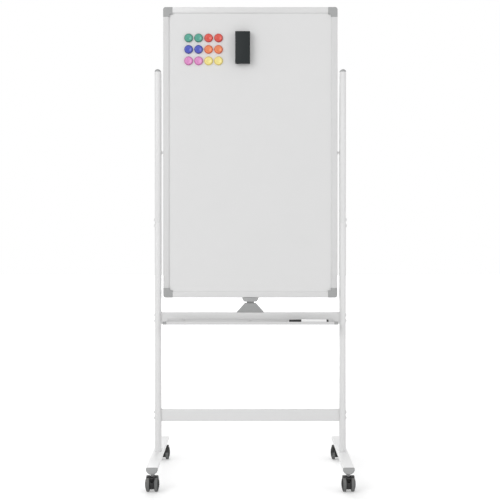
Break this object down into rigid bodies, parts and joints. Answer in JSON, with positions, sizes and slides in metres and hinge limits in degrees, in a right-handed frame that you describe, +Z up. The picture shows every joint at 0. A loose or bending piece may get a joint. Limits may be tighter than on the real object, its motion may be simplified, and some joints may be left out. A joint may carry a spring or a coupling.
{
  "type": "mobile revolving board easel",
  "caption": "Double-sided magnetic dry-wipe board that turns over on a level pivot between two posts of a castered H-shaped stand with a pen tray.",
  "frame": {"origin": "on the floor, in the middle of the stand's footprint", "axes": "+Z up, -Y towards the person in front of the board and its pen tray, +X to that person's right, along the pivot line"},
  "size_m": [0.683, 0.508, 1.612],
  "materials": {
    "white_sheet": "gloss",
    "board_core": "raw",
    "rail_aluminium": "white satin",
    "grey_plastic": "fine grain",
    "white_tube": "satin powder coat",
    "zinc_steel": "zinc",
    "pin_steel": "zinc",
    "bush_plastic": "smooth",
    "tray_white": "white satin",
    "magnet_green": "gloss",
    "magnet_red": "gloss",
    "magnet_blue": "gloss",
    "magnet_orange": "gloss",
    "magnet_pink": "gloss",
    "magnet_yellow": "gloss",
    "eraser_shell": "matt",
    "felt": "felted",
    "marker_white": "gloss",
    "marker_black": "gloss",
    "caster_black": "matt",
    "wheel_grey": "matt"
  },
  "bodies": {
    "stand": {"left_upper_post": "white_tube", "right_upper_post": "white_tube", "left_lower_post": "white_tube", "right_lower_post": "white_tube", "post_caps": "grey_plastic", "pivot_bushes": "bush_plastic", "post_inserts": "zinc_steel", "post_bolts": "white_tube", "tray_crossbar": "white_tube", "lower_crossbar": "white_tube", "crossbar_blocks": "zinc_steel", "crossbar_bolts": "white_tube", "pen_tray": "tray_white", "tray_back_plate": "tray_white", "tray_end_caps": "grey_plastic", "tray_screws": "tray_white", "latch_base": "grey_plastic", "left_foot": "white_tube", "right_foot": "white_tube", "foot_end_caps": "grey_plastic", "foot_bolts": "zinc_steel", "caster_sockets": "bush_plastic", "caster_stems": "zinc_steel"},
    "board": {"front_writing_sheet": "white_sheet", "rear_writing_sheet": "white_sheet", "core_panel": "board_core", "top_rail": "rail_aluminium", "bottom_rail": "rail_aluminium", "left_rail": "rail_aluminium", "right_rail": "rail_aluminium", "corner_caps": "grey_plastic", "pivot_blocks": "zinc_steel", "pivot_pins": "pin_steel", "pivot_nuts": "zinc_steel", "magnets_green": "magnet_green", "magnets_red": "magnet_red", "magnets_blue": "magnet_blue", "magnets_orange": "magnet_orange", "magnets_pink": "magnet_pink", "magnets_yellow": "magnet_yellow"},
    "eraser": {"eraser_grip": "eraser_shell", "eraser_felt": "felt"},
    "marker": {"marker_barrel": "marker_white", "marker_end_plug": "marker_black"},
    "marker_cap": {"marker_cap": "marker_black"},
    "latch": {"latch_cradle": "grey_plastic"},
    "front_left_caster": {"front_left_caster_body": "caster_black"},
    "front_left_outer_wheel": {"front_left_outer_wheel": "wheel_grey"},
    "front_left_inner_wheel": {"front_left_inner_wheel": "wheel_grey"},
    "front_right_caster": {"front_right_caster_body": "caster_black"},
    "front_right_outer_wheel": {"front_right_outer_wheel": "wheel_grey"},
    "front_right_inner_wheel": {"front_right_inner_wheel": "wheel_grey"},
    "rear_left_caster": {"rear_left_caster_body": "caster_black"},
    "rear_left_outer_wheel": {"rear_left_outer_wheel": "wheel_grey"},
    "rear_left_inner_wheel": {"rear_left_inner_wheel": "wheel_grey"},
    "rear_right_caster": {"rear_right_caster_body": "caster_black"},
    "rear_right_outer_wheel": {"rear_right_outer_wheel": "wheel_grey"},
    "rear_right_inner_wheel": {"rear_right_inner_wheel": "wheel_grey"},
    "front_left_brake": {"front_left_brake_pedal": "caster_black"},
    "front_right_brake": {"front_right_brake_pedal": "caster_black"}
  },
  "joints": [
    {"name": "board_flip", "type": "hinge", "parent": "stand", "child": "board", "pos_m": [0, 0, 1.112], "axis": [1, 0, 0], "continuous": true},
    {"name": "latch_slide", "type": "slide", "parent": "stand", "child": "latch", "axis": [0, 0, 1], "range_m": [0, 0.0075]},
    {"name": "eraser_pull", "type": "slide", "parent": "board", "child": "eraser", "axis": [0, -1, 0], "range_m": [0, 0.08]},
    {"name": "marker_lift", "type": "slide", "parent": "stand", "child": "marker", "axis": [0, 0, 1], "range_m": [0, 0.03]},
    {"name": "marker_cap_pull", "type": "slide", "parent": "marker", "child": "marker_cap", "axis": [-1, 0, 0], "range_m": [0, 0.045]},
    {"name": "front_left_swivel", "type": "hinge", "parent": "stand", "child": "front_left_caster", "pos_m": [-0.31825, -0.214, 0.04], "axis": [0, 0, 1], "continuous": true},
    {"name": "front_left_outer_spin", "type": "hinge", "parent": "front_left_caster", "child": "front_left_outer_wheel", "pos_m": [-0.31825, -0.229, 0.025], "axis": [1, 0, 0], "continuous": true},
    {"name": "front_left_inner_spin", "type": "hinge", "parent": "front_left_caster", "child": "front_left_inner_wheel", "pos_m": [-0.31825, -0.229, 0.025], "axis": [1, 0, 0], "continuous": true},
    {"name": "front_right_swivel", "type": "hinge", "parent": "stand", "child": "front_right_caster", "pos_m": [0.31825, -0.214, 0.04], "axis": [0, 0, 1], "continuous": true},
    {"name": "front_right_outer_spin", "type": "hinge", "parent": "front_right_caster", "child": "front_right_outer_wheel", "pos_m": [0.31825, -0.229, 0.025], "axis": [1, 0, 0], "continuous": true},
    {"name": "front_right_inner_spin", "type": "hinge", "parent": "front_right_caster", "child": "front_right_inner_wheel", "pos_m": [0.31825, -0.229, 0.025], "axis": [1, 0, 0], "continuous": true},
    {"name": "rear_left_swivel", "type": "hinge", "parent": "stand", "child": "rear_left_caster", "pos_m": [-0.31825, 0.214, 0.04], "axis": [0, 0, 1], "continuous": true},
    {"name": "rear_left_outer_spin", "type": "hinge", "parent": "rear_left_caster", "child": "rear_left_outer_wheel", "pos_m": [-0.31825, 0.229, 0.025], "axis": [1, 0, 0], "continuous": true},
    {"name": "rear_left_inner_spin", "type": "hinge", "parent": "rear_left_caster", "child": "rear_left_inner_wheel", "pos_m": [-0.31825, 0.229, 0.025], "axis": [1, 0, 0], "continuous": true},
    {"name": "rear_right_swivel", "type": "hinge", "parent": "stand", "child": "rear_right_caster", "pos_m": [0.31825, 0.214, 0.04], "axis": [0, 0, 1], "continuous": true},
    {"name": "rear_right_outer_spin", "type": "hinge", "parent": "rear_right_caster", "child": "rear_right_outer_wheel", "pos_m": [0.31825, 0.229, 0.025], "axis": [1, 0, 0], "continuous": true},
    {"name": "rear_right_inner_spin", "type": "hinge", "parent": "rear_right_caster", "child": "rear_right_inner_wheel", "pos_m": [0.31825, 0.229, 0.025], "axis": [1, 0, 0], "continuous": true},
    {"name": "front_left_brake_press", "type": "hinge", "parent": "front_left_caster", "child": "front_left_brake", "pos_m": [-0.31825, -0.2375, 0.0365], "axis": [1, 0, 0], "range_deg": [0, 16]},
    {"name": "front_right_brake_press", "type": "hinge", "parent": "front_right_caster", "child": "front_right_brake", "pos_m": [0.31825, -0.2375, 0.0365], "axis": [1, 0, 0], "range_deg": [0, 16]}
  ]
}
